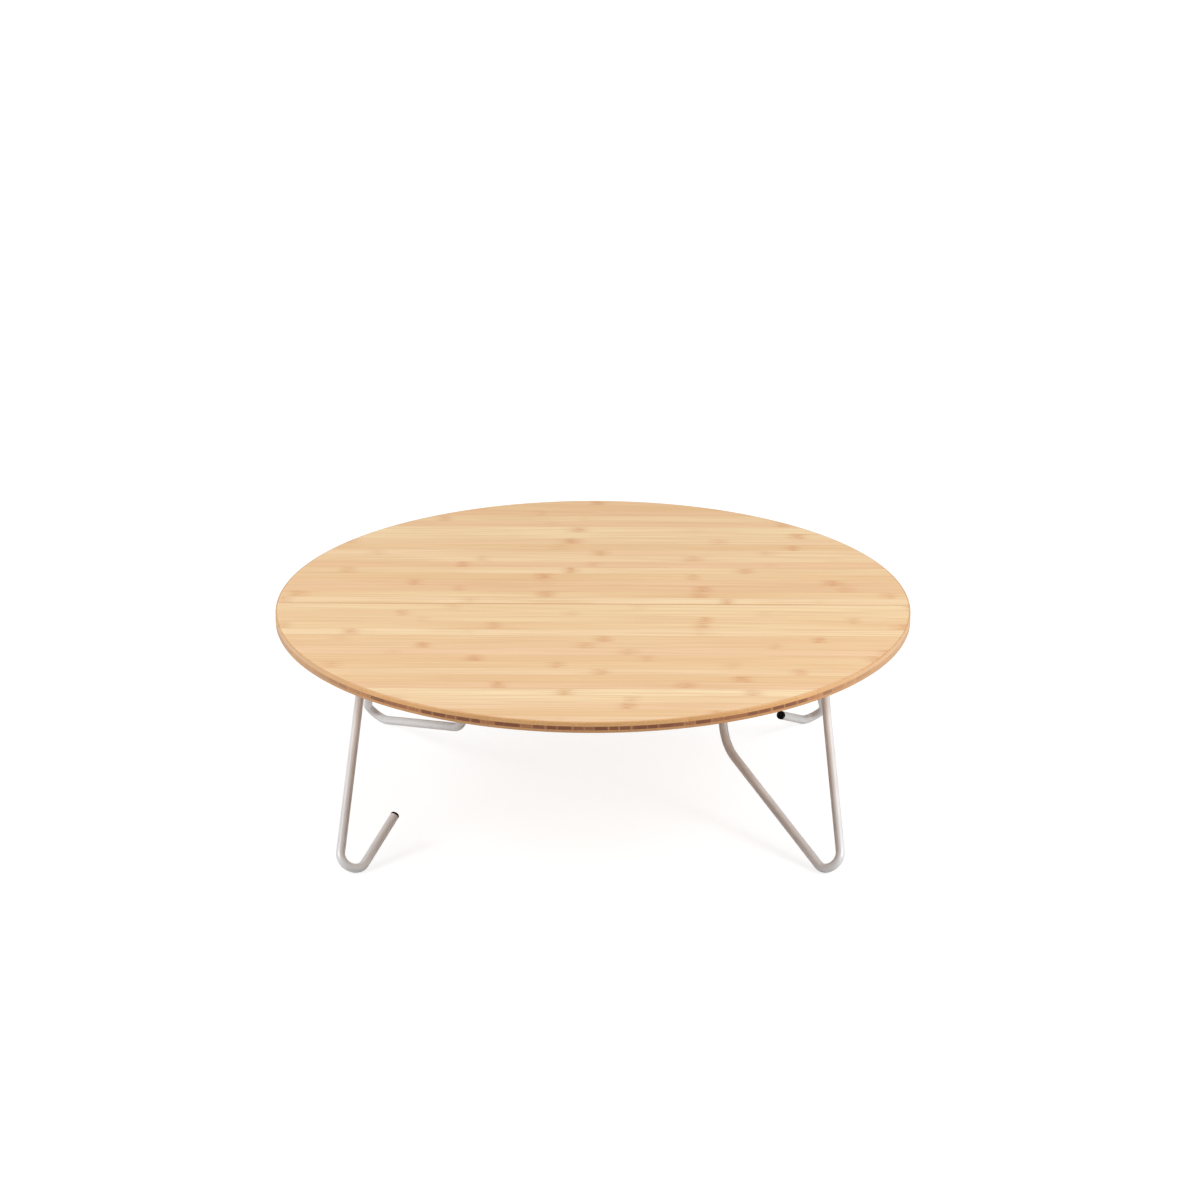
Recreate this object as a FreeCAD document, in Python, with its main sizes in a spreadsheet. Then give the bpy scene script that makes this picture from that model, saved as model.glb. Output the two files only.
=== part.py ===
import FreeCAD
import Part

import math
import os
import re

import Sketcher

# Low round folding table: two bamboo half-discs hinged under a straight seam, carried by two leg frames that
# cross below the top. Each frame is bent from one tube and turns in saddles on the half across the seam.
# Millimetres. +X runs along the seam, +Y to the rear, +Z up; z = 0 is the floor under the table's centre.

SIZES = (
    # Top: a disc of three plies, sawn in two along the seam
    ("table_diameter", 855),
    ("table_height", 278),
    ("face_ply_thickness", 6),
    ("core_ply_thickness", 5),
    ("back_ply_thickness", 4),
    ("seam_gap", 0.6),
    ("rim_round", 1.5),
    # Butt hinges under the seam
    ("hinge_spacing", 240),
    ("hinge_length", 60),
    ("hinge_leaf_width", 24),
    ("hinge_leaf_thickness", 2),
    ("hinge_barrel_diameter", 8),
    ("hinge_barrel_clearance", 0.4),
    ("hinge_knuckle_gap", 0.4),
    ("hinge_pin_diameter", 4),
    ("hinge_pin_clearance", 0.05),
    ("hinge_screw_pitch", 36),
    ("hinge_screw_setback", 15),
    # Pan-head wood screws
    ("screw_length", 9),
    ("screw_diameter", 3),
    ("screw_head_diameter", 6.4),
    ("screw_head_face_diameter", 4.8),
    ("screw_head_height", 1.8),
    ("screw_recess_length", 3.4),
    ("screw_recess_width", 0.8),
    ("screw_recess_depth", 1),
    # Crossbar saddles and their bushes
    ("crossbar_setback", 50),
    ("crossbar_drop", 12),
    ("saddle_spacing", 470),
    ("saddle_width", 18),
    ("saddle_thickness", 1.5),
    ("saddle_flange", 14),
    ("bush_width", 20),
    ("bush_wall", 1.6),
    ("bush_clearance", 0.08),
    # Leg tube, the same stock for both frames
    ("tube_diameter", 12),
    ("tube_wall", 1.5),
    ("corner_bend_radius", 20),
    ("foot_bend_radius", 18),
    ("return_bend_radius", 72),
    ("return_spread", 176.5),
    ("return_setback", 23.5),
    ("return_height", 87.5),
    ("stub_inset", 72.4),
    ("stub_run", 149.7),
    ("stub_rise", 74.8),
    ("neck_step", 0.25),
    ("neck_overlap", 3),
    ("weld_gap", 0.2),
    # Where each frame's legs leave the crossbar and reach the floor
    ("outer_corner_spread", 304),
    ("outer_foot_spread", 330.5),
    ("outer_foot_reach", 286.5),
    ("inner_corner_spread", 286.5),
    ("inner_foot_spread", 328),
    ("inner_foot_reach", 286.5),
    # Plugs in the open stub ends
    ("plug_shank_length", 12),
    ("plug_head_thickness", 3.8),
    ("plug_head_taper", 0.6),
    # Pivots where the legs of the two frames cross
    ("rivet_diameter", 6),
    ("rivet_head_diameter", 10),
    ("rivet_head_face_diameter", 7),
    ("rivet_head_height", 2.2),
    ("rivet_seat_clearance", 0.3),
    ("washer_diameter", 11),
    ("washer_thickness", 0.8),
    # How far a cutting shape runs past the face that it cuts
    ("cut_overrun", 2),
)

# Heights that many pieces share, as formulas in the names above
UNDERSIDE = "(table_height - face_ply_thickness - core_ply_thickness - back_ply_thickness)"
HINGE_AXIS = f"({UNDERSIDE} - hinge_barrel_clearance - hinge_barrel_diameter / 2)"
CROSSBAR_AXIS = f"({UNDERSIDE} - crossbar_drop)"
BUSH_RADIUS = "(tube_diameter / 2 + bush_clearance + bush_wall)"

RIGHTWARD = FreeCAD.Vector(1, 0, 0)
UPWARD = FreeCAD.Vector(0, 0, 1)
HALF_TURN = FreeCAD.Rotation(UPWARD, 180)
NO_TURN = FreeCAD.Rotation()
FOOT_STEPS = 40

doc = FreeCAD.newDocument("FoldingTable")
sheet = doc.addObject("Spreadsheet::Sheet", "Sizes")
for row, (alias, number) in enumerate(SIZES, start=1):
    sheet.set(f"A{row}", alias)
    sheet.set(f"B{row}", str(number))
    sheet.setAlias(f"B{row}", alias)
doc.recompute()

pieces = []


def size(alias):
    """One driving dimension, read from the sheet."""
    return float(sheet.get(alias))


def formula(rule):
    """A rule in plain alias names as an expression on the sheet."""
    return re.sub(r"[a-z][a-z_]+", r"Sizes.\g<0>", rule)


def bind(item, **rules):
    for field, rule in rules.items():
        item.setExpression(field, formula(rule))


def place(item, x, y, z):
    for axis, rule in (("x", x), ("y", y), ("z", z)):
        item.setExpression(f"Placement.Base.{axis}", formula(rule))


def keep(item, label):
    """Name a finished piece of the table."""
    item.Label = label
    pieces.append(item)
    return item


def box(name, length, width, height, x, y, z):
    item = doc.addObject("Part::Box", name)
    bind(item, Length=length, Width=width, Height=height)
    place(item, x, y, z)
    return item


def cylinder(name, diameter, height, x="0", y="0", z="0", along=UPWARD):
    item = doc.addObject("Part::Cylinder", name)
    bind(item, Radius=f"({diameter}) / 2", Height=height)
    item.Placement = FreeCAD.Placement(FreeCAD.Vector(), FreeCAD.Rotation(UPWARD, along))
    place(item, x, y, z)
    return item


def cone(name, low_diameter, high_diameter, height, z):
    item = doc.addObject("Part::Cone", name)
    bind(item, Radius1=f"({low_diameter}) / 2", Radius2=f"({high_diameter}) / 2", Height=height)
    place(item, "0", "0", z)
    return item


def fused(name, shapes):
    item = doc.addObject("Part::MultiFuse", name)
    item.Shapes = shapes
    return item


def cut(name, base, tool):
    item = doc.addObject("Part::Cut", name)
    item.Base = base
    item.Tool = tool
    return item


# Screws: one pattern with a crossed recess, head down, its shank starting at z = 0
screw_body = fused("screw_body", [
    cone("screw_head", "screw_head_face_diameter", "screw_head_diameter",
         "screw_head_height", "-screw_head_height"),
    cylinder("screw_shank", "screw_diameter", "screw_length"),
])
screw_recess = fused("screw_recess", [
    box("screw_recess_x", "screw_recess_length", "screw_recess_width", "screw_recess_depth + cut_overrun",
        "-screw_recess_length / 2", "-screw_recess_width / 2", "-screw_head_height - cut_overrun"),
    box("screw_recess_y", "screw_recess_width", "screw_recess_length", "screw_recess_depth + cut_overrun",
        "-screw_recess_width / 2", "-screw_recess_length / 2", "-screw_head_height - cut_overrun"),
])
screw = cut("screw", screw_body, screw_recess)
doc.recompute()

underside = size("table_height")
for ply in ("face", "core", "back"):
    underside -= size(f"{ply}_ply_thickness")
crossbar_height = underside - size("crossbar_drop")


def screw_group(label, seats):
    """Copies of the screw with their heads seated at the given points, as one piece."""
    group = doc.addObject("Part::Feature", label)
    group.Shape = Part.makeCompound([screw.Shape.translated(seat) for seat in seats])
    return keep(group, label)


HALVES = (("rear", 1, NO_TURN), ("front", -1, HALF_TURN))
HINGES = (("left", -1), ("middle", 0), ("right", 1))
SADDLES = (("left", -1), ("right", 1))

hinge_screws = {}
saddle_screws = {}
for half, side, _ in HALVES:
    seats = []
    for _, station in HINGES:
        for end in (-1, 1):
            seats.append(FreeCAD.Vector(
                station * size("hinge_spacing") + end * size("hinge_screw_pitch") / 2,
                side * size("hinge_screw_setback"),
                underside - size("hinge_leaf_thickness")))
    hinge_screws[half] = screw_group(f"{half}_hinge_screws", seats)

    screw_reach = size("tube_diameter") / 2 + size("bush_clearance") + size("bush_wall")
    screw_reach += size("saddle_thickness") + size("saddle_flange") / 2
    seats = []
    for _, station in SADDLES:
        for end in (-1, 1):
            seats.append(FreeCAD.Vector(
                station * size("saddle_spacing") / 2,
                side * size("crossbar_setback") + end * screw_reach,
                underside - size("saddle_thickness")))
    saddle_screws[half] = screw_group(f"{half}_saddle_screws", seats)


def half_disc(name, thickness, base_height, turn, rounded):
    """One ply of one half: a half-disc set back from the seam, with its rim edge rounded on request."""
    body = doc.addObject("PartDesign::Body", name)
    sketch = body.newObject("Sketcher::SketchObject", f"{name}_outline")
    plane = next(item for item in body.Origin.OriginFeatures if item.Role == "XY_Plane")
    sketch.AttachmentSupport = [(plane, "")]
    sketch.MapMode = "FlatFace"
    radius = size("table_diameter") / 2
    setback = size("seam_gap") / 2
    start = math.asin(setback / radius)
    circle = Part.Circle(FreeCAD.Vector(), UPWARD, radius)
    rim = Part.ArcOfCircle(circle, start, math.pi - start)
    sketch.addGeometry(rim)
    sketch.addGeometry(Part.LineSegment(rim.EndPoint, rim.StartPoint))
    sketch.addConstraint(Sketcher.Constraint("Coincident", 0, 3, -1, 1))
    sketch.addConstraint(Sketcher.Constraint("Coincident", 0, 2, 1, 1))
    sketch.addConstraint(Sketcher.Constraint("Coincident", 1, 2, 0, 1))
    sketch.addConstraint(Sketcher.Constraint("Horizontal", 1))
    radius_rule = sketch.addConstraint(Sketcher.Constraint("Radius", 0, radius))
    setback_rule = sketch.addConstraint(Sketcher.Constraint("DistanceY", -1, 1, 1, 1, setback))
    sketch.setExpression(f"Constraints[{radius_rule}]", formula("table_diameter / 2"))
    sketch.setExpression(f"Constraints[{setback_rule}]", formula("seam_gap / 2"))
    pad = body.newObject("PartDesign::Pad", f"{name}_pad")
    pad.Profile = sketch
    bind(pad, Length=thickness)
    doc.recompute()
    if rounded:
        heights = [vertex.Z for vertex in pad.Shape.Vertexes]
        level = max(heights) if rounded == "top" else min(heights)
        edges = []
        for count, edge in enumerate(pad.Shape.Edges, start=1):
            level_edge = all(abs(vertex.Z - level) < Part.Precision.confusion() for vertex in edge.Vertexes)
            if level_edge and isinstance(edge.Curve, Part.Circle):
                edges.append(f"Edge{count}")
        fillet = body.newObject("PartDesign::Fillet", f"{name}_round")
        fillet.Base = (pad, edges)
        bind(fillet, Radius="rim_round")
    body.Placement = FreeCAD.Placement(FreeCAD.Vector(), turn)
    place(body, "0", "0", base_height)
    return body


def drilled(name, base, half):
    """A ply with the holes that the screws of its half have cut in it."""
    tool = fused(f"{name}_pilots", [hinge_screws[half], saddle_screws[half]])
    return cut(name, base, tool)


for half, side, turn in HALVES:
    face = half_disc(f"{half}_face", "face_ply_thickness", "table_height - face_ply_thickness", turn, "top")
    keep(face, f"{half}_face_ply")
    core = half_disc(f"{half}_core", "core_ply_thickness", f"{UNDERSIDE} + back_ply_thickness", turn, None)
    keep(drilled(f"{half}_core_drilled", core, half), f"{half}_core_ply")
    back = half_disc(f"{half}_back", "back_ply_thickness", UNDERSIDE, turn, "bottom")
    keep(drilled(f"{half}_back_drilled", back, half), f"{half}_back_ply")

# Butt hinges: the rear leaf has the two end knuckles and holds the pin, the front leaf has the middle one
NOTCH_REACH = "(hinge_barrel_diameter / 2 + hinge_knuckle_gap)"
NOTCH_HEIGHT = f"({UNDERSIDE} - {HINGE_AXIS} + hinge_barrel_diameter / 2 + 2 * cut_overrun)"
NOTCH_BASE = f"({HINGE_AXIS} - hinge_barrel_diameter / 2 - cut_overrun)"


def knuckle_notch(name, length, start):
    return box(name, length, f"2 * {NOTCH_REACH}", NOTCH_HEIGHT, start, f"-{NOTCH_REACH}", NOTCH_BASE)


def hinge_leaf(name, half, start, notches, bore):
    """A flat leaf with its barrel, cleared for the other leaf's knuckles, bored and drilled."""
    near = "seam_gap / 2" if half == "rear" else "-hinge_leaf_width"
    blank = fused(f"{name}_blank", [
        box(f"{name}_plate", "hinge_length", "hinge_leaf_width - seam_gap / 2", "hinge_leaf_thickness",
            start, near, f"{UNDERSIDE} - hinge_leaf_thickness"),
        cylinder(f"{name}_barrel", "hinge_barrel_diameter", "hinge_length",
                 start, "0", HINGE_AXIS, RIGHTWARD),
    ])
    hole = cylinder(f"{name}_bore", bore, "hinge_length + 2 * cut_overrun",
                    f"{start} - cut_overrun", "0", HINGE_AXIS, RIGHTWARD)
    waste = fused(f"{name}_waste", notches + [hole, hinge_screws[half]])
    return cut(name, blank, waste)


for hinge, station in HINGES:
    start = f"({station} * hinge_spacing - hinge_length / 2)"
    name = f"{hinge}_hinge"
    middle = [knuckle_notch(f"{name}_middle_notch", "hinge_length / 3 + hinge_knuckle_gap",
                            f"{start} + hinge_length / 3 - hinge_knuckle_gap / 2")]
    end_length = "hinge_length / 3 + hinge_knuckle_gap / 2 + cut_overrun"
    last_offset = "2 * hinge_length / 3 - hinge_knuckle_gap / 2"
    ends = []
    for end, offset in (("first", "-cut_overrun"), ("last", last_offset)):
        ends.append(knuckle_notch(f"{name}_{end}_notch", end_length, f"{start} + {offset}"))
    rear_leaf = hinge_leaf(f"{name}_rear", "rear", start, middle, "hinge_pin_diameter")
    keep(rear_leaf, f"{name}_rear_leaf")
    running_bore = "hinge_pin_diameter + 2 * hinge_pin_clearance"
    front_leaf = hinge_leaf(f"{name}_front", "front", start, ends, running_bore)
    keep(front_leaf, f"{name}_front_leaf")
    pin = cylinder(f"{name}_rod", "hinge_pin_diameter", "hinge_length", start, "0", HINGE_AXIS, RIGHTWARD)
    keep(pin, f"{name}_pin")


def round_bottomed(name, length, radius, x, y):
    """A U section along X, hanging from the underside and rounded about the crossbar's axis."""
    return fused(name, [
        box(f"{name}_upper", length, f"2 * {radius}", "crossbar_drop",
            f"{x} - ({length}) / 2", f"{y} - {radius}", CROSSBAR_AXIS),
        cylinder(f"{name}_lower", f"2 * {radius}", length,
                 f"{x} - ({length}) / 2", y, CROSSBAR_AXIS, RIGHTWARD),
    ])


# Saddles: a pressed steel strap round a nylon bush, in which the crossbar turns
for half, side, _ in HALVES:
    for hand, station in SADDLES:
        name = f"{half}_{hand}"
        x = f"({station} * saddle_spacing / 2)"
        y = f"({side} * crossbar_setback)"
        strap_radius = f"({BUSH_RADIUS} + saddle_thickness)"
        flange_reach = f"({strap_radius} + saddle_flange)"
        strap = fused(f"{name}_strap", [
            round_bottomed(f"{name}_hoop", "saddle_width", strap_radius, x, y),
            box(f"{name}_flange", "saddle_width", f"2 * {flange_reach}", "saddle_thickness",
                f"{x} - saddle_width / 2", f"{y} - {flange_reach}", f"{UNDERSIDE} - saddle_thickness"),
        ])
        hollow = round_bottomed(f"{name}_hollow", "saddle_width + 2 * cut_overrun", BUSH_RADIUS, x, y)
        waste = fused(f"{name}_saddle_waste", [hollow, saddle_screws[half]])
        keep(cut(f"{name}_saddle_cut", strap, waste), f"{name}_saddle")
        block = round_bottomed(f"{name}_block", "bush_width", BUSH_RADIUS, x, y)
        bore = cylinder(f"{name}_bush_bore", "tube_diameter + 2 * bush_clearance",
                        "bush_width + 2 * cut_overrun",
                        f"{x} - bush_width / 2 - cut_overrun", y, CROSSBAR_AXIS, RIGHTWARD)
        keep(cut(f"{name}_bush_cut", block, bore), f"{name}_bush")


def bend(before, corner, after, radius):
    """Start, middle, end and lowest height of an arc of the radius that rounds a corner of a route."""
    back = (before - corner).normalize()
    onward = (after - corner).normalize()
    half_angle = back.getAngle(onward) / 2
    inward = (back + onward).normalize()
    centre = corner + inward * (radius / math.sin(half_angle))
    tangent = radius / math.tan(half_angle)
    normal = back.cross(onward).normalize()
    lowest = centre.z - radius * math.sqrt(1 - normal.z ** 2)
    return corner + back * tangent, centre - inward * radius, corner + onward * tangent, lowest


def foot_corner(top, ground, following, radius):
    """Where a leg's line turns back so that the rounded foot just reaches the ground point's height."""
    downward = (ground - top).normalize()
    corner = ground
    for _ in range(FOOT_STEPS):
        lowest = bend(top, corner, following(corner), radius)[3]
        corner = corner - downward * ((lowest - ground.z) / downward.z)
    return corner


def rounded_route(points, radii):
    """A wire of straight runs through the points, with an arc at each inner one."""
    edges = []
    start = points[0]
    for before, corner, after, radius in zip(points, points[1:], points[2:], radii):
        first, middle, last, _ = bend(before, corner, after, radius)
        edges.append(Part.LineSegment(start, first).toShape())
        edges.append(Part.Arc(first, middle, last).toShape())
        start = last
    edges.append(Part.LineSegment(start, points[-1]).toShape())
    return Part.Wire(edges)


def swept(name, route, diameter, start, heading):
    """A round rod of the diameter along a route."""
    section = doc.addObject("Part::Circle", f"{name}_section")
    bind(section, Radius=f"({diameter}) / 2")
    section.Placement = FreeCAD.Placement(start, FreeCAD.Rotation(UPWARD, heading))
    rod = doc.addObject("Part::Sweep", name)
    rod.Sections = [section]
    rod.Spine = (route, [f"Edge{count}" for count in range(1, len(route.Shape.Edges) + 1)])
    rod.Solid = True
    rod.Frenet = False
    return rod


def aligned_cylinder(name, diameter, height, base, heading):
    """A cylinder from a worked-out point along a worked-out direction."""
    item = doc.addObject("Part::Cylinder", name)
    bind(item, Radius=f"({diameter}) / 2", Height=height)
    item.Placement = FreeCAD.Placement(base, FreeCAD.Rotation(UPWARD, heading))
    return item


# The legs of both frames cross at one height; the share is measured down the leg from its corner
reaches = size("outer_foot_reach") + size("inner_foot_reach")
crossing_share = 2 * size("crossbar_setback") / (2 * size("crossbar_setback") + reaches)
tube_radius = size("tube_diameter") / 2
crossing_height = crossbar_height + crossing_share * (tube_radius - crossbar_height)
crossing_setback = size("crossbar_setback")
crossing_setback -= crossing_share * (size("crossbar_setback") + size("outer_foot_reach"))


def crossing_spread(frame):
    corner = size(f"{frame}_corner_spread")
    return corner + crossing_share * (size(f"{frame}_foot_spread") - corner)


def leg_frame(frame, turn):
    """One frame: stub, foot, leg, crossbar, leg, foot and the return that is welded to the crossbar."""
    corner_spread = size(f"{frame}_corner_spread")
    foot_spread = size(f"{frame}_foot_spread")
    setback = size("crossbar_setback")
    left_top = FreeCAD.Vector(-corner_spread, setback, crossbar_height)
    right_top = FreeCAD.Vector(corner_spread, setback, crossbar_height)
    left_ground = FreeCAD.Vector(-foot_spread, -size(f"{frame}_foot_reach"), tube_radius)
    right_ground = FreeCAD.Vector(foot_spread, -size(f"{frame}_foot_reach"), tube_radius)
    elbow = FreeCAD.Vector(size("return_spread"), -size("return_setback"), size("return_height"))
    stub = FreeCAD.Vector(size("stub_inset"), size("stub_run"), size("stub_rise"))
    left_foot = foot_corner(left_top, left_ground, lambda corner: corner + stub, size("foot_bend_radius"))
    right_foot = foot_corner(right_top, right_ground, lambda corner: elbow, size("foot_bend_radius"))
    weld = FreeCAD.Vector(size("return_spread"), setback, crossbar_height)
    rise = (weld - elbow).normalize()
    neck_end = weld - rise * (tube_radius + size("weld_gap"))
    points = [left_foot + stub, left_foot, left_top, right_top, right_foot, elbow, neck_end]
    points = [turn.multVec(point) for point in points]
    radii = [size("foot_bend_radius"), size("corner_bend_radius"), size("corner_bend_radius"),
             size("foot_bend_radius"), size("return_bend_radius")]
    route = doc.addObject("Part::Feature", f"{frame}_leg_route")
    route.Shape = rounded_route(points, radii)
    mouth = points[0]
    outward = (points[0] - points[1]).normalize()
    rod = swept(f"{frame}_leg_rod", route, "tube_diameter", mouth, -outward)
    bore = swept(f"{frame}_leg_bore", route, "tube_diameter - 2 * tube_wall", mouth, -outward)
    tube = cut(f"{frame}_leg_tube", rod, bore)

    heading = turn.multVec(rise)
    neck_base = points[-1] - heading * size("neck_overlap")
    neck_rod = aligned_cylinder(f"{frame}_neck_rod", "tube_diameter - 2 * neck_step",
                                "neck_overlap + weld_gap + tube_diameter / 2", neck_base, heading)
    bar_bore = aligned_cylinder(f"{frame}_bar_bore", "tube_diameter - 2 * tube_wall", "2 * tube_diameter",
                                turn.multVec(weld) - RIGHTWARD * size("tube_diameter"), RIGHTWARD)
    neck = cut(f"{frame}_neck", neck_rod, bar_bore)

    spread = crossing_spread(frame)
    holes = []
    for hand, station in SADDLES:
        middle = FreeCAD.Vector(station * spread - size("tube_diameter"), crossing_setback, crossing_height)
        holes.append(aligned_cylinder(f"{frame}_{hand}_pivot_hole", "rivet_diameter", "2 * tube_diameter",
                                      middle, RIGHTWARD))
    welded = fused(f"{frame}_leg_welded", [tube, neck])
    keep(cut(f"{frame}_leg_pierced", welded, fused(f"{frame}_pivot_holes", holes)), f"{frame}_leg_frame")

    plug = fused(f"{frame}_plug", [
        cylinder(f"{frame}_plug_shank", "tube_diameter - 2 * tube_wall", "plug_shank_length",
                 z="-plug_shank_length"),
        cone(f"{frame}_plug_head", "tube_diameter", "tube_diameter - 2 * plug_head_taper",
             "plug_head_thickness", "0"),
    ])
    plug.Placement = FreeCAD.Placement(mouth, FreeCAD.Rotation(UPWARD, outward))
    keep(plug, f"{frame}_end_plug")


leg_frame("outer", NO_TURN)
leg_frame("inner", HALF_TURN)

# Crossing pivots: a headed half rivet through each leg, and a washer on the outer leg's inner side
RIVET_SEAT = "(tube_diameter / 2 + rivet_seat_clearance)"
for hand, station in SADDLES:
    for frame, facing in (("outer", station), ("inner", -station)):
        name = f"{hand}_rivet_{frame}"
        tail = "rivet_seat_clearance + washer_thickness" if frame == "outer" else "rivet_seat_clearance"
        rivet = fused(f"{name}_body", [
            cylinder(f"{name}_shank", "rivet_diameter", f"tube_diameter / 2 + {tail} + {RIVET_SEAT}",
                     z=f"-(tube_diameter / 2 + {tail})"),
            cone(f"{name}_head", "rivet_head_diameter", "rivet_head_face_diameter",
                 "rivet_head_height", RIVET_SEAT),
        ])
        middle = FreeCAD.Vector(station * crossing_spread(frame), crossing_setback, crossing_height)
        rivet.Placement = FreeCAD.Placement(middle, FreeCAD.Rotation(UPWARD, RIGHTWARD * facing))
        keep(rivet, name)
    name = f"{hand}_pivot_washer"
    ring = cut(f"{name}_ring", cylinder(f"{name}_disc", "washer_diameter", "washer_thickness"),
               cylinder(f"{name}_hole", "rivet_diameter", "washer_thickness"))
    seat = station * (crossing_spread("outer") - tube_radius - size("rivet_seat_clearance"))
    ring.Placement = FreeCAD.Placement(FreeCAD.Vector(seat, crossing_setback, crossing_height),
                                       FreeCAD.Rotation(UPWARD, RIGHTWARD * -station))
    keep(ring, name)

doc.recompute()

for item in doc.Objects:
    if "Invalid" in item.State or "Error" in item.State:
        raise RuntimeError(f"{item.Name} failed: {item.State}")
for piece in pieces:
    if piece.Shape.isNull() or not piece.Shape.isValid():
        raise RuntimeError(f"{piece.Label} has no valid shape")

os.makedirs("parts", exist_ok=True)
for piece in pieces:
    piece.Shape.exportStep(f"parts/{piece.Label}.step")
    print(f"{piece.Label}: {len(piece.Shape.Solids)} solid(s), {piece.Shape.Volume:.1f} mm3")
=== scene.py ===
import math

import bmesh
import bpy
from mathutils import Matrix, Vector


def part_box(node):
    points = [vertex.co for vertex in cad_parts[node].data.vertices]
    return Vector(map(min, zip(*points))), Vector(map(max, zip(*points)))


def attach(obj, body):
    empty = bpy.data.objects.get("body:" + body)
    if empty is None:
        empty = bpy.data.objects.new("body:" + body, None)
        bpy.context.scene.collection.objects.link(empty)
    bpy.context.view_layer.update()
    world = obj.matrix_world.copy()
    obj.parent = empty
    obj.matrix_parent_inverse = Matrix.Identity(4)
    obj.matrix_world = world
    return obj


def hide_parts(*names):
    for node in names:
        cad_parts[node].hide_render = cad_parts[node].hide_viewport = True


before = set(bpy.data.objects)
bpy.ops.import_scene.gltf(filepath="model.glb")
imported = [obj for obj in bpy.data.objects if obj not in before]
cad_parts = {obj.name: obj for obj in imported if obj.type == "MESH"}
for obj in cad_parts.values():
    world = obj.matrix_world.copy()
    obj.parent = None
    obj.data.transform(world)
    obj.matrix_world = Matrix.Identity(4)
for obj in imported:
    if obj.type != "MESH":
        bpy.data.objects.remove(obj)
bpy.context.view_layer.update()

# Bamboo panel: the round top is a three-ply bamboo board, sawn in two along the seam. Each ply is made of
# narrow strips glued edge to edge, which keep the darker scars of the cane's nodes, under satin lacquer.
strip_width = 0.024
core_strip_width = 0.016
core_strip_stray = 0.014
glue_line = 0.0006
core_glue_line = 0.0024
node_spacing = 0.27
lane_stagger = 7.0
tone_drift_share = 0.5
tone_lane_share = 0.6
fibre_relief_share = 0.5
scar_least_reach = 0.013
scar_extra_reach = 0.009
scar_raggedness = 0.03
scar_along_share = 0.6
scar_across_share = 0.3
scar_strength = 0.78
joint_strength = 0.8


def add_node(tree, kind, inputs, **options):
    """A node with its options set and its inputs fed from values or from other nodes."""
    made = tree.nodes.new(kind)
    for option, value in options.items():
        setattr(made, option, value)
    for socket, value in inputs.items():
        if isinstance(value, bpy.types.NodeSocket):
            tree.links.new(value, made.inputs[socket])
        else:
            made.inputs[socket].default_value = value
    return made


def calculate(tree, operation, *terms):
    return add_node(tree, "ShaderNodeMath", dict(enumerate(terms)), operation=operation).outputs[0]


def fade(tree, value, over, to):
    """Ease between two levels while the value crosses a span."""
    return add_node(tree, "ShaderNodeMapRange", {
        "Value": value, "From Min": over[0], "From Max": over[1], "To Min": to[0], "To Max": to[1]},
        interpolation_type="SMOOTHSTEP").outputs[0]


def grain(tree, along, across, along_scale, across_scale, detail):
    """Noise drawn out along the strips."""
    point = add_node(tree, "ShaderNodeCombineXYZ", {
        "X": calculate(tree, "MULTIPLY", along, along_scale),
        "Y": calculate(tree, "MULTIPLY", across, across_scale)}).outputs[0]
    return add_node(tree, "ShaderNodeTexNoise", {"Vector": point, "Scale": 1.0, "Detail": detail},
                    noise_dimensions="2D").outputs[0]


def speckle(tree, place, scale, detail):
    """Noise that is alike in all directions."""
    return add_node(tree, "ShaderNodeTexNoise", {
        "Vector": place, "Scale": scale, "Detail": detail}).outputs[0]


def new_group(name, inputs, outputs):
    """An empty node group with number sockets, the sockets that it is given and those of its result."""
    tree = bpy.data.node_groups.new(name, "ShaderNodeTree")
    for socket in inputs:
        tree.interface.new_socket(name=socket, in_out="INPUT", socket_type="NodeSocketFloat")
    for socket in outputs:
        tree.interface.new_socket(name=socket, in_out="OUTPUT", socket_type="NodeSocketFloat")
    return tree, tree.nodes.new("NodeGroupInput").outputs, tree.nodes.new("NodeGroupOutput").inputs


def place_group(tree, group, inputs):
    return add_node(tree, "ShaderNodeGroup", inputs, node_tree=group).outputs


strips, given, result = new_group(
    "bamboo_strips",
    ("Along", "Across", "Strip Width", "Joint Width", "Node Spacing"),
    ("Tone", "Warmth", "Fibre", "Node Scar", "Joint", "Height"))
along = given["Along"]
across = given["Across"]
lane = calculate(strips, "DIVIDE", across, given["Strip Width"])
lane_number = calculate(strips, "FLOOR", lane)
lane_place = calculate(strips, "FRACT", lane)
lane_dice = add_node(strips, "ShaderNodeTexWhiteNoise", {"W": lane_number}, noise_dimensions="1D")
lane_shift, lane_depth, lane_glue = add_node(
    strips, "ShaderNodeSeparateColor", {"Color": lane_dice.outputs["Color"]}).outputs
strips.links.new(lane_dice.outputs["Value"], result["Warmth"])
drift = grain(strips, along, lane_number, along_scale=3.0, across_scale=7.3, detail=1.0)
lane_tone = calculate(strips, "MULTIPLY", lane_depth, tone_lane_share)
tone = calculate(strips, "MULTIPLY_ADD", drift, tone_drift_share, lane_tone)
strips.links.new(tone, result["Tone"])

fine_fibre = grain(strips, along, across, along_scale=9.0, across_scale=1500.0, detail=3.0)
broad_fibre = grain(strips, along, across, along_scale=4.5, across_scale=210.0, detail=3.0)
fibre = calculate(strips, "MULTIPLY", calculate(strips, "ADD", fine_fibre, broad_fibre), 0.5)
strips.links.new(fibre, result["Fibre"])


def near_middle(dice, share):
    """A place in a span of 1 that the dice moves about its middle, over a share of the span."""
    return calculate(strips, "MULTIPLY_ADD", dice, share, (1 - share) / 2)


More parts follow.
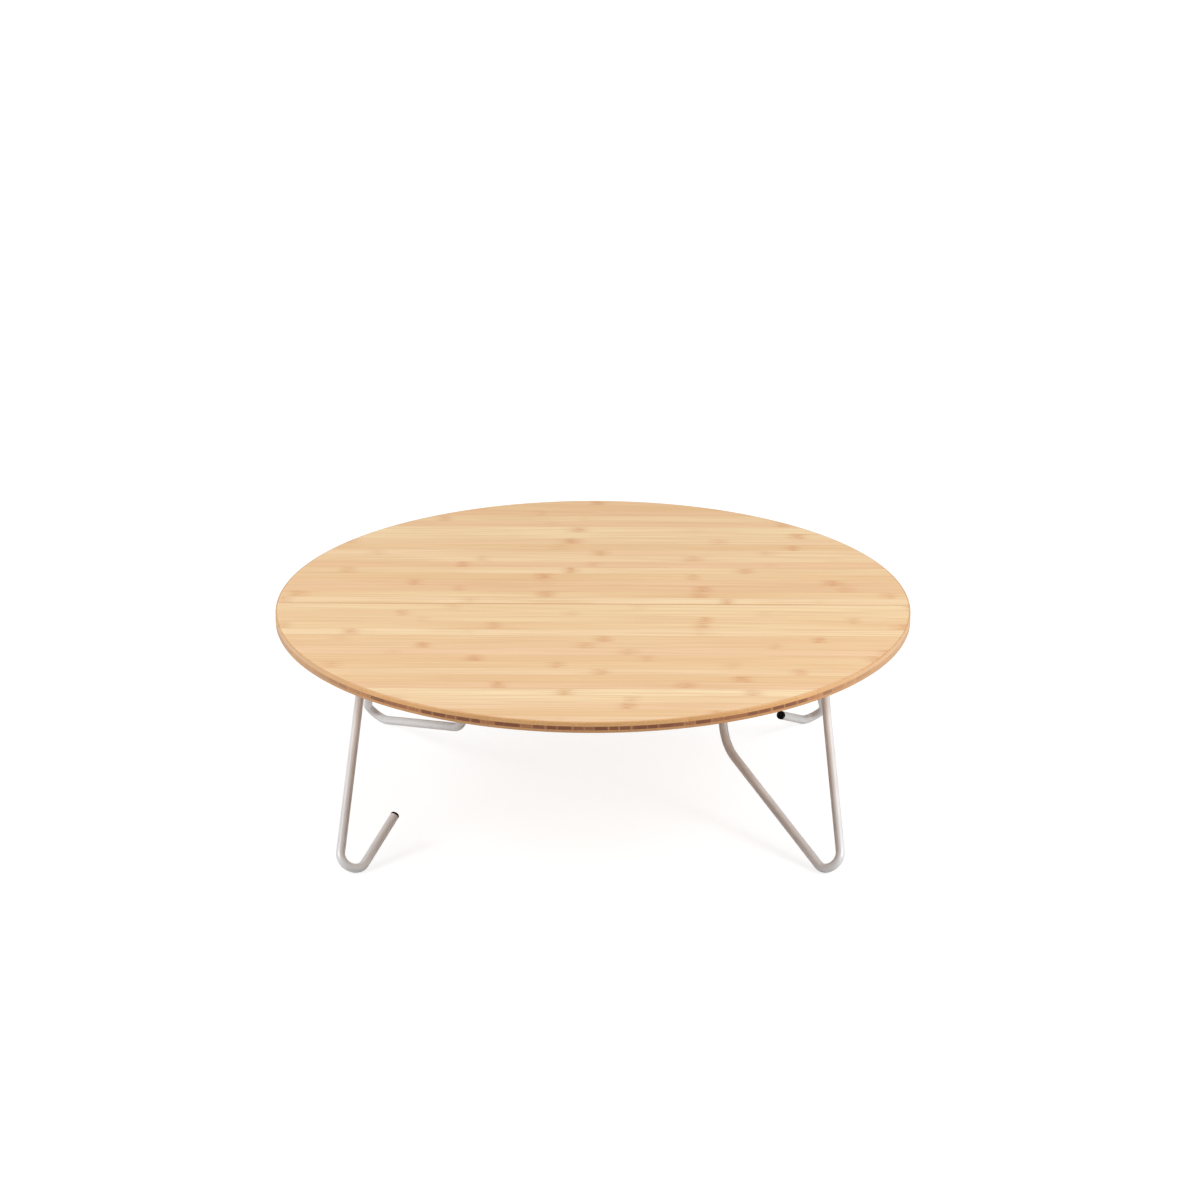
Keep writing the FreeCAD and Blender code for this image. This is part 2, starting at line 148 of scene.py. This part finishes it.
stalk = calculate(strips, "MULTIPLY_ADD", lane_shift, lane_stagger,
                  calculate(strips, "DIVIDE", along, given["Node Spacing"]))
stalk_cell = add_node(strips, "ShaderNodeCombineXYZ", {
    "X": lane_number, "Y": calculate(strips, "FLOOR", stalk)}).outputs[0]
scar_dice = add_node(strips, "ShaderNodeTexWhiteNoise", {"Vector": stalk_cell}, noise_dimensions="2D")
scar_shift, scar_side, scar_size = add_node(
    strips, "ShaderNodeSeparateColor", {"Color": scar_dice.outputs["Color"]}).outputs
scar_gap = calculate(strips, "ABSOLUTE", calculate(
    strips, "SUBTRACT", calculate(strips, "FRACT", stalk), near_middle(scar_shift, scar_along_share)))
scar_gap = calculate(strips, "MULTIPLY", scar_gap, given["Node Spacing"])
ragged = grain(strips, along, across, along_scale=25.0, across_scale=620.0, detail=3.0)
ragged = calculate(strips, "SUBTRACT", ragged, 0.5)
scar_gap = calculate(strips, "MULTIPLY_ADD", ragged, scar_raggedness, scar_gap)
scar_reach = calculate(strips, "MULTIPLY_ADD", scar_size, scar_extra_reach, scar_least_reach)
scar = fade(strips, calculate(strips, "DIVIDE", scar_gap, scar_reach), over=(-0.2, 1.1), to=(1.0, 0.0))
scar_thread = grain(strips, along, across, along_scale=70.0, across_scale=1100.0, detail=2.0)
scar_off = calculate(strips, "ABSOLUTE", calculate(
    strips, "SUBTRACT", lane_place, near_middle(scar_side, scar_across_share)))
for thinning in (
        fade(strips, scar_thread, over=(0.38, 0.62), to=(0.25, 1.0)),
        fade(strips, scar_off, over=(0.34, 0.66), to=(1.0, 0.2)),
        fade(strips, scar_dice.outputs["Value"], over=(0.1, 0.9), to=(0.15, 1.0))):
    scar = calculate(strips, "MULTIPLY", scar, thinning)
strips.links.new(scar, result["Node Scar"])

lane_edge = calculate(strips, "MULTIPLY", given["Strip Width"], calculate(
    strips, "MINIMUM", lane_place, calculate(strips, "SUBTRACT", 1.0, lane_place)))
joint = calculate(strips, "DIVIDE", lane_edge, given["Joint Width"])
joint = fade(strips, joint, over=(0.0, 1.0), to=(1.0, 0.0))
joint = calculate(strips, "MULTIPLY", joint, fade(strips, lane_glue, over=(0.2, 1.0), to=(0.1, 1.0)))
strips.links.new(joint, result["Joint"])
fibre_relief = calculate(strips, "MULTIPLY", fibre, fibre_relief_share)
relief = calculate(strips, "SUBTRACT", fibre_relief, joint)
strips.links.new(relief, result["Height"])


def srgb(red, green, blue):
    """A colour written as it is seen on a screen, 0 to 255, as the linear values that a shader takes."""
    linear = []
    for level in (red / 255, green / 255, blue / 255):
        linear.append(level / 12.92 if level <= 0.04045 else ((level + 0.055) / 1.055) ** 2.4)
    return (*linear, 1.0)


def blend_colours(tree, factor, first, second):
    """Mix two colours; a Mix node's sockets go by number, because its kinds of socket share their names."""
    return add_node(tree, "ShaderNodeMix", {0: factor, 6: first, 7: second}, data_type="RGBA").outputs[2]


def lay_colours(tree, ground, coats):
    """Lay colours over the ground one after the other, each as strongly as its factor says."""
    for factor, coat in coats:
        ground = blend_colours(tree, factor, ground, coat)
    return ground


def new_material(name):
    material = bpy.data.materials.new(name)
    material.use_nodes = True
    tree = material.node_tree
    return material, tree, tree.nodes["Principled BSDF"].inputs


def object_spot(tree):
    return tree.nodes.new("ShaderNodeTexCoord").outputs["Object"]


def vary_roughness(tree, shader, pattern, least, extra):
    tree.links.new(calculate(tree, "MULTIPLY_ADD", pattern, extra, least), shader["Roughness"])


def raise_bump(tree, shader, height, distance, strength):
    bump = add_node(tree, "ShaderNodeBump", {"Height": height, "Distance": distance, "Strength": strength})
    tree.links.new(bump.outputs[0], shader["Normal"])


# Where the saw's colours start and end on the board: at the rim, on the fine line where the lacquered face
# turns over into it, on the seam's cut face, and toward the ends of the strips. Along the seam's upper edge
# lies a painted shade of the gap between the halves.
table_low, table_high = (Vector(corner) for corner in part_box("rear_face_ply"))
table_radius = table_high.x
seam_half = table_low.y
rim_band = (table_radius - 0.0016, table_radius - 0.0002)
turn_line_start = (table_radius - 0.0026, table_radius - 0.0016)
turn_line_end = (table_radius - 0.0012, table_radius - 0.0005)
seam_band = (seam_half + 0.0002, seam_half + 0.0014)
upper_edge_band = (table_high.z - 0.0012, table_high.z - 0.0002)
flank_band = (0.55 * table_radius, 0.97 * table_radius)


def bamboo_material(name, colours, joint_width, crosswise, gloss):
    """Strips along the seam, or across it for the core, with darker wood where the saw has cut the board and
    a painted shade of the gap along the seam's upper edge.
    """
    material, tree, shader = new_material(name)
    place = object_spot(tree)
    x, y, z = add_node(tree, "ShaderNodeSeparateXYZ", {"Vector": place}).outputs
    along, across = (y, x) if crosswise else (x, y)
    if crosswise:
        uneven = add_node(tree, "ShaderNodeTexNoise", {"W": across, "Scale": 34.0, "Detail": 0.0},
                          noise_dimensions="1D").outputs[0]
        across = calculate(tree, "MULTIPLY_ADD", uneven, core_strip_stray, across)
    tone, warmth, fibre, scar, joint, height = place_group(tree, strips, {
        "Along": along, "Across": across, "Strip Width": core_strip_width if crosswise else strip_width,
        "Joint Width": joint_width, "Node Spacing": node_spacing})
    lacquered = lay_colours(tree, colours["pale"], (
        (fade(tree, tone, over=(0.1, 0.9), to=(0.0, 1.0)), colours["deep"]),
        (fade(tree, warmth, over=(0.35, 1.0), to=(0.0, 0.7)), colours["rose"]),
        (fade(tree, fibre, over=(0.42, 0.62), to=(0.0, 0.5)), colours["fibre"]),
        (calculate(tree, "MULTIPLY", scar, scar_strength), colours["scar"]),
        (calculate(tree, "MULTIPLY", joint, joint_strength), colours["joint"])))

    speck = speckle(tree, place, scale=900.0, detail=2.0)
    if crosswise:
        depth = fade(tree, tone, over=(0.25, 0.62), to=(0.15, 1.0))
    else:
        depth = fade(tree, tone, over=(0.2, 0.8), to=(0.0, 0.4))
    flank = fade(tree, calculate(tree, "ABSOLUTE", x), over=flank_band, to=(0.0, 0.8))
    sawn = lay_colours(tree, colours["sawn"], (
        (fade(tree, speck, over=(0.38, 0.68), to=(0.0, 0.75)), colours["pore"]),
        (depth, colours["pore"]),
        (joint, colours["joint"]),
        (flank, colours["flank"])))

    from_centre = calculate(tree, "SQRT", calculate(
        tree, "ADD", calculate(tree, "MULTIPLY", x, x), calculate(tree, "MULTIPLY", y, y)))
    rim = fade(tree, from_centre, over=rim_band, to=(0.0, 1.0))
    turn_line = calculate(tree, "MULTIPLY",
                          fade(tree, from_centre, over=turn_line_start, to=(0.0, 0.7)),
                          fade(tree, from_centre, over=turn_line_end, to=(1.0, 0.0)))
    seam = fade(tree, calculate(tree, "ABSOLUTE", y), over=seam_band, to=(1.0, 0.0))
    upper_edge = fade(tree, z, over=upper_edge_band, to=(0.0, 0.75))
    # Painted shade: the joint colour laid along the seam's upper edge stands in for the shade in the gap
    # between the halves.
    seam_gap_shade = calculate(tree, "MULTIPLY", upper_edge, calculate(tree, "SUBTRACT", 1.0, flank))
    colour = lay_colours(tree, lacquered, (
        (calculate(tree, "MAXIMUM", rim, seam), sawn),
        (turn_line, colours["joint"]),
        # Painted shade of the seam's gap, in the joint colour.
        (calculate(tree, "MULTIPLY", seam, seam_gap_shade), colours["joint"])))
    tree.links.new(colour, shader["Base Color"])
    vary_roughness(tree, shader, fibre, least=gloss, extra=0.16)
    raise_bump(tree, shader, height, distance=0.00012, strength=0.35)
    return material


face_bamboo = bamboo_material("face_bamboo", {
    "pale": srgb(240, 216, 174), "deep": srgb(226, 188, 140), "rose": srgb(228, 186, 147),
    "fibre": srgb(211, 165, 117), "scar": srgb(198, 134, 82), "joint": srgb(195, 141, 90),
    "sawn": srgb(230, 178, 116), "pore": srgb(205, 148, 90), "flank": srgb(209, 173, 133)},
    joint_width=glue_line, crosswise=False, gloss=0.36)
core_bamboo = bamboo_material("core_bamboo", {
    "pale": srgb(160, 106, 70), "deep": srgb(136, 86, 56), "rose": srgb(150, 94, 66),
    "fibre": srgb(120, 74, 46), "scar": srgb(110, 68, 42), "joint": srgb(188, 136, 88),
    "sawn": srgb(192, 130, 82), "pore": srgb(130, 76, 46), "flank": srgb(210, 166, 120)},
    joint_width=core_glue_line, crosswise=True, gloss=0.42)
back_bamboo = bamboo_material("back_bamboo", {
    "pale": srgb(212, 164, 108), "deep": srgb(194, 142, 88), "rose": srgb(202, 146, 96),
    "fibre": srgb(180, 128, 78), "scar": srgb(160, 106, 62), "joint": srgb(166, 114, 68),
    "sawn": srgb(206, 153, 100), "pore": srgb(184, 130, 80), "flank": srgb(192, 154, 114)},
    joint_width=glue_line, crosswise=False, gloss=0.42)

# Plies of the two halves: glued up as one disc and sawn apart at the seam, with the rim eased on a router at
# the top and bottom and the seam's edges just broken. The core's strips lie across those of the other plies.
rim_points = 360
rim_round = 0.0015
seam_break = 0.0004
round_steps = 4
touching = 0.00001
merge_distance = 0.000001
crease_angle = 0.6


def start_piece():
    if bpy.context.object and bpy.context.object.mode != "OBJECT":
        bpy.ops.object.mode_set(mode="OBJECT")
    bpy.ops.object.select_all(action="DESELECT")


def edit_added(name):
    """Name the primitive just added, put its place into its mesh and open it with everything selected."""
    bpy.ops.object.transform_apply(location=True, rotation=True, scale=True)
    piece = bpy.context.object
    piece.name = name
    bpy.ops.object.mode_set(mode="EDIT")
    bpy.ops.mesh.select_all(action="SELECT")
    return piece


def select_where(piece, kind, wanted):
    """Select only the edges or the faces whose corners are placed as wanted."""
    bpy.ops.mesh.select_all(action="DESELECT")
    bpy.ops.mesh.select_mode(type=kind)
    shape = bmesh.from_edit_mesh(piece.data)
    for item in shape.edges if kind == "EDGE" else shape.faces:
        item.select_set(wanted([corner.co for corner in item.verts]))
    bmesh.update_edit_mesh(piece.data)


def close_piece(piece, material, body, nodes, sharp_angle=crease_angle):
    """Leave edit mode with clean outward faces, then paint the piece and hand it to its body."""
    bpy.ops.mesh.select_all(action="SELECT")
    bpy.ops.mesh.remove_doubles(threshold=merge_distance)
    bpy.ops.mesh.normals_make_consistent(inside=False)
    bpy.ops.object.mode_set(mode="OBJECT")
    bpy.ops.object.shade_smooth_by_angle(angle=sharp_angle)
    piece.data.materials.clear()
    piece.data.materials.append(material)
    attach(piece, body)
    if nodes:
        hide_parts(*nodes)


def half_ply(half, layer, side, eased, material):
    """One half-disc of a ply, with its edges eased where they are the board's top or bottom edges."""
    node_name = f"{half}_{layer}_ply"
    low, high = (Vector(corner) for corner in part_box(node_name))
    start_piece()
    bpy.ops.mesh.primitive_circle_add(vertices=rim_points, radius=table_radius, fill_type="NGON",
                                      location=(0, 0, low.z))
    ply = edit_added(f"{half}_{layer}_board")
    bpy.ops.mesh.bisect(plane_co=(0, side * seam_half, low.z), plane_no=(0, side, 0), clear_inner=True)
    bpy.ops.mesh.select_all(action="SELECT")
    bpy.ops.mesh.extrude_region_move(TRANSFORM_OT_translate={"value": (0, 0, high.z - low.z)})
    bpy.ops.mesh.select_all(action="SELECT")
    bpy.ops.mesh.normals_make_consistent(inside=False)
    if eased:
        level = high.z if eased == "top" else low.z
        for offset, along_seam in ((rim_round, False), (seam_break, True)):
            select_where(ply, "EDGE", lambda ends: all(abs(end.z - level) < touching for end in ends)
                         and along_seam == all(abs(end.y - side * seam_half) < touching for end in ends))
            bpy.ops.mesh.bevel(offset=offset, segments=round_steps, affect="EDGES")
    close_piece(ply, material, f"{half}_top", [node_name])
    even = ply.modifiers.new("even_shading", "WEIGHTED_NORMAL")
    even.keep_sharp = True
    even.weight = 100
    bpy.ops.object.modifier_apply(modifier=even.name)


for half, side in (("rear", 1), ("front", -1)):
    half_ply(half, "face", side, "top", face_bamboo)
    half_ply(half, "core", side, None, core_bamboo)
    half_ply(half, "back", side, "bottom", back_bamboo)

# Hinges, saddles, screws and rivets: pressed and turned steel with a dull zinc plate, which lies in soft
# cloudy patches and shows fine handling scratches.
scratch_scale = (90.0, 2600.0, 900.0)
scratch_turn = (0.0, 0.0, 0.5)

plate, given, result = new_group("zinc_plate", ("Patch Scale",), ("Cloud", "Scratch"))
spot = object_spot(plate)
plate.links.new(speckle(plate, spot, scale=given["Patch Scale"], detail=3.0), result["Cloud"])
stretched = add_node(plate, "ShaderNodeMapping", {
    "Vector": spot, "Scale": scratch_scale, "Rotation": scratch_turn}).outputs[0]
plate.links.new(speckle(plate, stretched, scale=1.0, detail=2.0), result["Scratch"])


def zinc_material(name, dull, bright, patch_scale, gloss):
    material, tree, shader = new_material(name)
    cloud, scratch = place_group(tree, plate, {"Patch Scale": patch_scale})
    patches = fade(tree, cloud, over=(0.3, 0.7), to=(0.0, 1.0))
    tree.links.new(blend_colours(tree, patches, dull, bright), shader["Base Color"])
    worn = calculate(tree, "MULTIPLY_ADD", scratch, 0.18, gloss)
    vary_roughness(tree, shader, cloud, least=worn, extra=0.12)
    shader["Metallic"].default_value = 1.0
    raise_bump(tree, shader, scratch, distance=0.00003, strength=0.3)
    return material


def paint_nodes(material, names):
    for name in names:
        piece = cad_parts[name]
        piece.data.materials.clear()
        piece.data.materials.append(material)


hinge_zinc = zinc_material("hinge_zinc", srgb(176, 176, 174), srgb(206, 206, 203),
                           patch_scale=160.0, gloss=0.24)
saddle_zinc = zinc_material("saddle_zinc", srgb(170, 171, 172), srgb(200, 201, 202),
                            patch_scale=120.0, gloss=0.28)
screw_zinc = zinc_material("screw_zinc", srgb(186, 184, 178), srgb(214, 212, 206),
                           patch_scale=300.0, gloss=0.2)
rivet_zinc = zinc_material("rivet_zinc", srgb(182, 182, 182), srgb(210, 210, 210),
                           patch_scale=240.0, gloss=0.22)
hands = ("left", "right")
halves = ("rear", "front")
paint_nodes(hinge_zinc, [f"{hinge}_hinge_{item}" for hinge in ("left", "middle", "right")
                         for item in ("rear_leaf", "front_leaf", "pin")])
paint_nodes(screw_zinc, [f"{half}_{item}_screws" for half in halves for item in ("hinge", "saddle")])
paint_nodes(saddle_zinc, [f"{half}_{hand}_saddle" for half in halves for hand in hands])
paint_nodes(rivet_zinc, [f"{hand}_rivet_{leg}" for hand in hands for leg in ("outer", "inner")])

# Bushes and pivot washers: moulded in natural nylon, slightly waxy and mottled where the light goes in. The
# crossbars turn in the bushes inside the saddles, and a washer keeps the tubes apart at each rivet.
nylon, tree, shader = new_material("natural_nylon")
milk = speckle(tree, object_spot(tree), scale=220.0, detail=2.0)
tree.links.new(blend_colours(tree, milk, srgb(226, 224, 214), srgb(240, 238, 230)), shader["Base Color"])
vary_roughness(tree, shader, milk, least=0.4, extra=0.1)
raise_bump(tree, shader, milk, distance=0.00005, strength=0.2)
paint_nodes(nylon, [f"{half}_{hand}_bush" for half in halves for hand in hands])
paint_nodes(nylon, [f"{hand}_pivot_washer" for hand in hands])

# Leg frames: each is one length of steel tube, bent from its open stub round the foot, up the leg, along the
# crossbar, down the other leg and back from the other foot, then powder-coated a warm light grey.
tube_radius = 0.006
tube_sides = 40
bend_steps = 14
run_step = 0.018
settling_rounds = 40
corner_bend = 0.020
foot_bend = 0.018
return_bend = 0.072
crossbar_setback = 0.050
crossbar_height = 0.251
return_elbow = Vector((0.1765, -0.0235, 0.0875))
stub_run = Vector((0.0724, 0.1497, 0.0748))
frame_sizes = {
    "outer": {"corner_spread": 0.304, "foot_spread": 0.3305, "foot_reach": 0.2865, "turn": 0},
    "inner": {"corner_spread": 0.2865, "foot_spread": 0.328, "foot_reach": 0.2865, "turn": math.pi},
}

grey_coat, tree, shader = new_material("grey_powder_coat")
spot = object_spot(tree)
peel = speckle(tree, spot, scale=1400.0, detail=2.0)
tint = fade(tree, speckle(tree, spot, scale=14.0, detail=3.0), over=(0.3, 0.7), to=(0.0, 1.0))
tree.links.new(blend_colours(tree, tint, srgb(224, 223, 223), srgb(232, 232, 233)), shader["Base Color"])
vary_roughness(tree, shader, peel, least=0.36, extra=0.14)
shader["Metallic"].default_value = 0.12
raise_bump(tree, shader, peel, distance=0.00004, strength=0.14)


def bend_of(before, corner, after, radius):
    """Where a bend starts and ends, its centre, its axis and how far it turns."""
    inward = (corner - before).normalized()
    outward = (after - corner).normalized()
    turn = inward.angle(outward)
    reach = radius * math.tan(turn / 2)
    axis = inward.cross(outward).normalized()
    start = corner - inward * reach
    return start, corner + outward * reach, start + axis.cross(inward) * radius, axis, turn


def foot_below(top, ground, following):
    """The corner of a leg's line whose rounded bend just rests its tube on the floor."""
    down = (ground - top).normalized()
    corner = ground.copy()
    for _ in range(settling_rounds):
        _, _, centre, axis, _ = bend_of(top, corner, following(corner), foot_bend)
        lowest = centre.z - foot_bend * math.sqrt(1 - axis.z ** 2)
        corner -= down * ((lowest - tube_radius) / down.z)
    return corner


def draw_ring(travel):
    """Draw the open ring along a straight run in short steps, which keeps its faces well shaped."""
    steps = max(1, round(travel.length / run_step))
    for _ in range(steps):
        bpy.ops.mesh.extrude_region_move(TRANSFORM_OT_translate={"value": travel / steps})


def bent_tube(name, points, radii):
    """Start with a ring at the first point, draw it along each run and swing it round each bend."""
    start_piece()
    heading = (points[1] - points[0]).to_track_quat("Z", "Y").to_euler()
    bpy.ops.mesh.primitive_circle_add(vertices=tube_sides, radius=tube_radius, fill_type="NGON",
                                      location=points[0], rotation=heading)
    tube = edit_added(name)
    bpy.ops.mesh.select_mode(type="FACE")
    reached = points[0]
    for before, corner, after, radius in zip(points, points[1:], points[2:], radii):
        start, end, centre, axis, turn = bend_of(before, corner, after, radius)
        draw_ring(start - reached)
        bpy.ops.mesh.spin(steps=bend_steps, angle=-turn, center=centre, axis=axis)
        reached = end
    draw_ring(points[-1] - reached)
    return tube


stub_ends = {}
weld_places = {}
for leg, sizes in frame_sizes.items():
    left_top = Vector((-sizes["corner_spread"], crossbar_setback, crossbar_height))
    right_top = Vector((sizes["corner_spread"], crossbar_setback, crossbar_height))
    left_ground = Vector((-sizes["foot_spread"], -sizes["foot_reach"], tube_radius))
    right_ground = Vector((sizes["foot_spread"], -sizes["foot_reach"], tube_radius))
    left_foot = foot_below(left_top, left_ground, lambda corner: corner + stub_run)
    right_foot = foot_below(right_top, right_ground, lambda corner: return_elbow)
    weld = Vector((return_elbow.x, crossbar_setback, crossbar_height))
    route = [left_foot + stub_run, left_foot, left_top, right_top, right_foot, return_elbow, weld]
    turned = Matrix.Rotation(sizes["turn"], 3, "Z")
    route = [turned @ point for point in route]
    tube = bent_tube(f"{leg}_leg_tube", route, (foot_bend, corner_bend, corner_bend, foot_bend, return_bend))
    close_piece(tube, grey_coat, f"{leg}_legs", [f"{leg}_leg_frame"])
    stub_ends[leg] = (route[0], (route[0] - route[1]).normalized())
    weld_places[leg] = (route[-1], (route[-1] - route[-2]).normalized())

# End plugs: moulded black plastic, with a softly rounded head as wide as the tube and a thinner shank that is
# pushed into the open stub of each frame.
plug_head = 0.0038
plug_shank_radius = 0.0045
plug_shank = 0.012
plug_round = 0.0012

black_plastic, tree, shader = new_material("black_plastic")
mould = speckle(tree, object_spot(tree), scale=1800.0, detail=2.0)
tree.links.new(blend_colours(tree, mould, srgb(9, 9, 10), srgb(17, 17, 18)), shader["Base Color"])
vary_roughness(tree, shader, mould, least=0.6, extra=0.15)
shader["Specular IOR Level"].default_value = 0.12
raise_bump(tree, shader, mould, distance=0.00003, strength=0.4)

for leg, (mouth, outward) in stub_ends.items():
    start_piece()
    bpy.ops.mesh.primitive_cylinder_add(
        vertices=tube_sides, radius=tube_radius, depth=plug_head, location=mouth + outward * plug_head / 2,
        rotation=outward.to_track_quat("Z", "Y").to_euler())
    plug = edit_added(f"{leg}_stub_plug")
    select_where(plug, "EDGE", lambda ends: all((end - mouth).dot(outward) > plug_head / 2 for end in ends))
    bpy.ops.mesh.bevel(offset=plug_round, segments=round_steps, affect="EDGES")
    select_where(plug, "FACE", lambda corners: all(
        abs((corner - mouth).dot(outward)) < touching for corner in corners))
    bpy.ops.mesh.inset(thickness=tube_radius - plug_shank_radius)
    bpy.ops.mesh.extrude_region_move(TRANSFORM_OT_translate={"value": outward * -plug_shank})
    close_piece(plug, black_plastic, f"{leg}_legs", [f"{leg}_end_plug"])

# Weld beads: each return is welded to the underside of its crossbar, and a rippled fillet of weld metal lies
# round the end of the return there, under the same coat as the frame.
bead_radius = 0.0018
bead_sink_share = 0.4
bead_ripple = 0.0003
bead_ripples = 26
bead_steps_per_ripple = 4
bead_sides = 12
bead_crease_angle = 1.2

for leg, (weld, heading) in weld_places.items():
    start_piece()
    seat = weld - heading * (tube_radius + bead_radius * bead_sink_share)
    bpy.ops.mesh.primitive_torus_add(
        major_radius=tube_radius, minor_radius=bead_radius,
        major_segments=bead_ripples * bead_steps_per_ripple, minor_segments=bead_sides,
        location=seat, rotation=heading.to_track_quat("Z", "Y").to_euler())
    bead = edit_added(f"{leg}_weld_bead")
    first = heading.orthogonal().normalized()
    second = heading.cross(first)
    shape = bmesh.from_edit_mesh(bead.data)
    for corner in shape.verts:
        arm = corner.co - seat
        arm -= heading * arm.dot(heading)
        angle = math.atan2(arm.dot(second), arm.dot(first))
        corner.co += arm.normalized() * bead_ripple * math.cos(angle * bead_ripples)
    bmesh.update_edit_mesh(bead.data)
    close_piece(bead, grey_coat, f"{leg}_legs", [], sharp_angle=bead_crease_angle)

# Stage: a plain white floor that keeps the table's shadow, a broad panel above and behind, and a soft panel
# high on each side, so that only light thrown back by the floor reaches under the top. The camera sees the
# floor as part paint and part glow, which comes out white, and the room behind it as white.
floor_size = 40
floor_paint_grey = (0.8, 0.8, 0.8, 1.0)
floor_seen_grey = (0.26, 0.26, 0.26, 1.0)
plain_white = (1.0, 1.0, 1.0, 1.0)
room_light = 0.17
panel_aim = Vector((0, 0, 0.15))

start_piece()
bpy.ops.mesh.primitive_plane_add(size=floor_size)
floor = bpy.context.object
floor.name = "floor"
floor_paint, tree, shader = new_material("white_floor")
shader["Roughness"].default_value = 0.9
shader["Specular IOR Level"].default_value = 0.0
shader["Emission Color"].default_value = plain_white
seen = add_node(tree, "ShaderNodeLightPath", {}).outputs["Is Camera Ray"]
tree.links.new(blend_colours(tree, seen, floor_paint_grey, floor_seen_grey), shader["Base Color"])
from_table = add_node(tree, "ShaderNodeVectorMath", {0: object_spot(tree)},
                      operation="LENGTH").outputs["Value"]
glow = fade(tree, from_table, over=(0.7, 2.4), to=(0.84, 1.0))
tree.links.new(calculate(tree, "MULTIPLY", seen, glow), shader["Emission Strength"])
floor.data.materials.append(floor_paint)

world = bpy.data.worlds.new("studio")
bpy.context.scene.world = world
world.use_nodes = True
tree = world.node_tree
room = tree.nodes["Background"].inputs
room["Color"].default_value = plain_white
seen = add_node(tree, "ShaderNodeLightPath", {}).outputs["Is Camera Ray"]
tree.links.new(calculate(tree, "MULTIPLY_ADD", seen, 1 - room_light, room_light), room["Strength"])


def light_panel(name, place, size, power):
    """A soft square panel turned to the table."""
    bpy.ops.object.light_add(type="AREA", location=place)
    panel = bpy.context.object
    panel.name = name
    panel.data.size = size
    panel.data.energy = power
    panel.rotation_euler = (panel_aim - panel.location).to_track_quat("-Z", "Y").to_euler()


light_panel("overhead_panel", place=(-0.3, 1.6, 3.1), size=2.6, power=42)
light_panel("left_panel", place=(-2.3, -0.9, 1.9), size=1.3, power=55)
light_panel("right_panel", place=(2.3, -0.9, 1.8), size=1.3, power=66)

# Camera: a long lens a little above the table, nearly square to the seam, as the photograph was taken. Its
# place comes from a fit to the rim, the seam and the legs, in the photograph's pixels.
photo_pixels = 1200
focal_pixels = 4429
top_centre_pixel = (593, 604)
camera_distance = 5.975
camera_height_angle = math.radians(20.334)
camera_swing = math.radians(0.683)
top_centre = Vector((0, 0, table_high.z))
backward = Vector((math.sin(camera_swing) * math.cos(camera_height_angle),
                   -math.cos(camera_swing) * math.cos(camera_height_angle), math.sin(camera_height_angle)))
facing = backward.to_track_quat("Z", "Y")
metres_per_pixel = camera_distance / focal_pixels
slide = Vector(((photo_pixels / 2 - top_centre_pixel[0]) * metres_per_pixel,
                (top_centre_pixel[1] - photo_pixels / 2) * metres_per_pixel, 0))
bpy.ops.object.camera_add(location=top_centre + backward * camera_distance + facing @ slide)
camera = bpy.context.object
camera.rotation_euler = facing.to_euler()
camera.data.sensor_width = 36
camera.data.lens = focal_pixels / photo_pixels * camera.data.sensor_width
bpy.context.scene.camera = camera
bpy.context.scene.view_settings.view_transform = "Standard"
